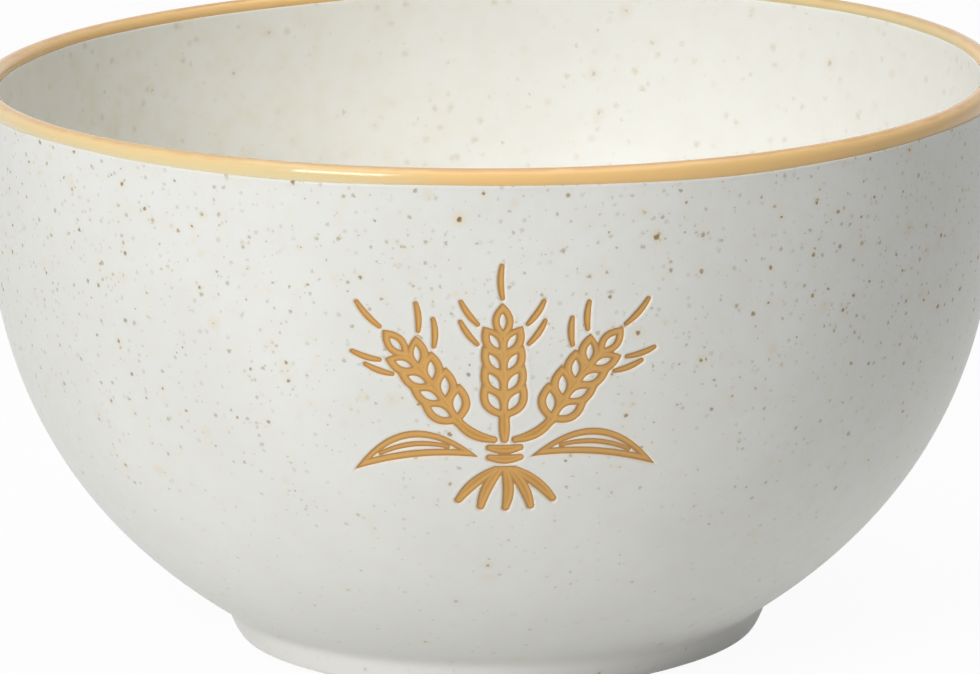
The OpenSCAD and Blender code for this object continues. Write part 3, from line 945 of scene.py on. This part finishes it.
# Camera
ELEVATION, ROLL = math.radians(13.1646), math.radians(-0.845)
DISTANCE, TO_LEFT, UPWARDS = 948.9, 0.519, 1.307
PIXELS_WIDE, FOCAL_PIXELS, SENSOR = 980, 6394.36, 36.0
back = Vector((0, -math.cos(ELEVATION), math.sin(ELEVATION)))
level_up = Vector((0, math.sin(ELEVATION), math.cos(ELEVATION)))
right = Vector((1, 0, 0)) * math.cos(ROLL) + level_up * math.sin(ROLL)
up = level_up * math.cos(ROLL) - Vector((1, 0, 0)) * math.sin(ROLL)
camera_data = bpy.data.cameras.new("photo_camera")
camera_data.sensor_fit = "HORIZONTAL"
camera_data.sensor_width = SENSOR
camera_data.lens = FOCAL_PIXELS * SENSOR / PIXELS_WIDE
camera_data.clip_start, camera_data.clip_end = 0.05, 20
camera = bpy.data.objects.new("photo_camera", camera_data)
bpy.context.scene.collection.objects.link(camera)
turn_to = Matrix((right, up, back)).transposed().to_4x4()
stand = (Vector((0, 0, BOWL_H / 2)) + back * DISTANCE - right * TO_LEFT + up * UPWARDS) * MM
camera.matrix_world = Matrix.Translation(stand) @ turn_to
bpy.context.scene.camera = camera

# Light and floor
WHITE = (1.0, 1.0, 1.0)
LAMP_TARGET = Vector((0, 0, 0.045))
FLOOR_GLOW = 0.95


def seen_white(shader):
    """1 for rays that the camera, gloss or glass sends to the background."""
    path = shader.node("LightPath").socket.node.outputs
    most = shader.math("MAXIMUM", Value(shader, path["Is Camera Ray"]),
                       Value(shader, path["Is Glossy Ray"]))
    return shader.math("MAXIMUM", most, Value(shader, path["Is Transmission Ray"]))


def add_softbox(name, azimuth, elevation, distance, wide, high, power):
    """An area light that looks at the bowl. Azimuth 0 is the camera's side, and it grows to the
    left."""
    a, e = math.radians(azimuth), math.radians(elevation)
    way = Vector((-math.sin(a) * math.cos(e), -math.cos(a) * math.cos(e), math.sin(e)))
    data = bpy.data.lights.new(name, "AREA")
    data.shape, data.size, data.size_y = "RECTANGLE", wide, high
    data.energy = power
    light = bpy.data.objects.new(name, data)
    light.matrix_world = (Matrix.Translation(LAMP_TARGET + way * distance)
                          @ way.to_track_quat("Z", "Y").to_matrix().to_4x4())
    bpy.context.scene.collection.objects.link(light)


add_softbox("key_softbox", 33, 28, 1.1, 0.38, 0.5, 6.5)
add_softbox("top_softbox", 0, 88, 1.3, 1.6, 1.6, 13.6)

world = bpy.data.worlds.new("studio")
bpy.context.scene.world = world
world.use_nodes = True
shader = Shader(world.node_tree)
light = shader.mix(seen_white(shader), (0.02,) * 3, WHITE)
sky = shader.node("Background", {}, {"Color": light, "Strength": 1.0})
shader.node("OutputWorld", {}, {"Surface": sky})

floor_material, shader = new_material("pale floor")
lit = shader.node("BsdfDiffuse", {}, {"Color": (0.94, 0.94, 0.93)})
glow = shader.node("Emission", {}, {"Color": WHITE, "Strength": 1.0})
mixed = shader.node("MixShader", {}, {0: seen_white(shader) * FLOOR_GLOW, 1: lit, 2: glow})
shader.node("OutputMaterial", {}, {"Surface": mixed})

bm = bmesh.new()
bmesh.ops.create_circle(bm, cap_ends=True, segments=96, radius=3.0)
floor_mesh = bpy.data.meshes.new("floor")
bm.to_mesh(floor_mesh)
bm.free()
floor_mesh.materials.append(floor_material)
floor = bpy.data.objects.new("floor", floor_mesh)
bpy.context.scene.collection.objects.link(floor)

bpy.context.scene.view_settings.view_transform = "Standard"
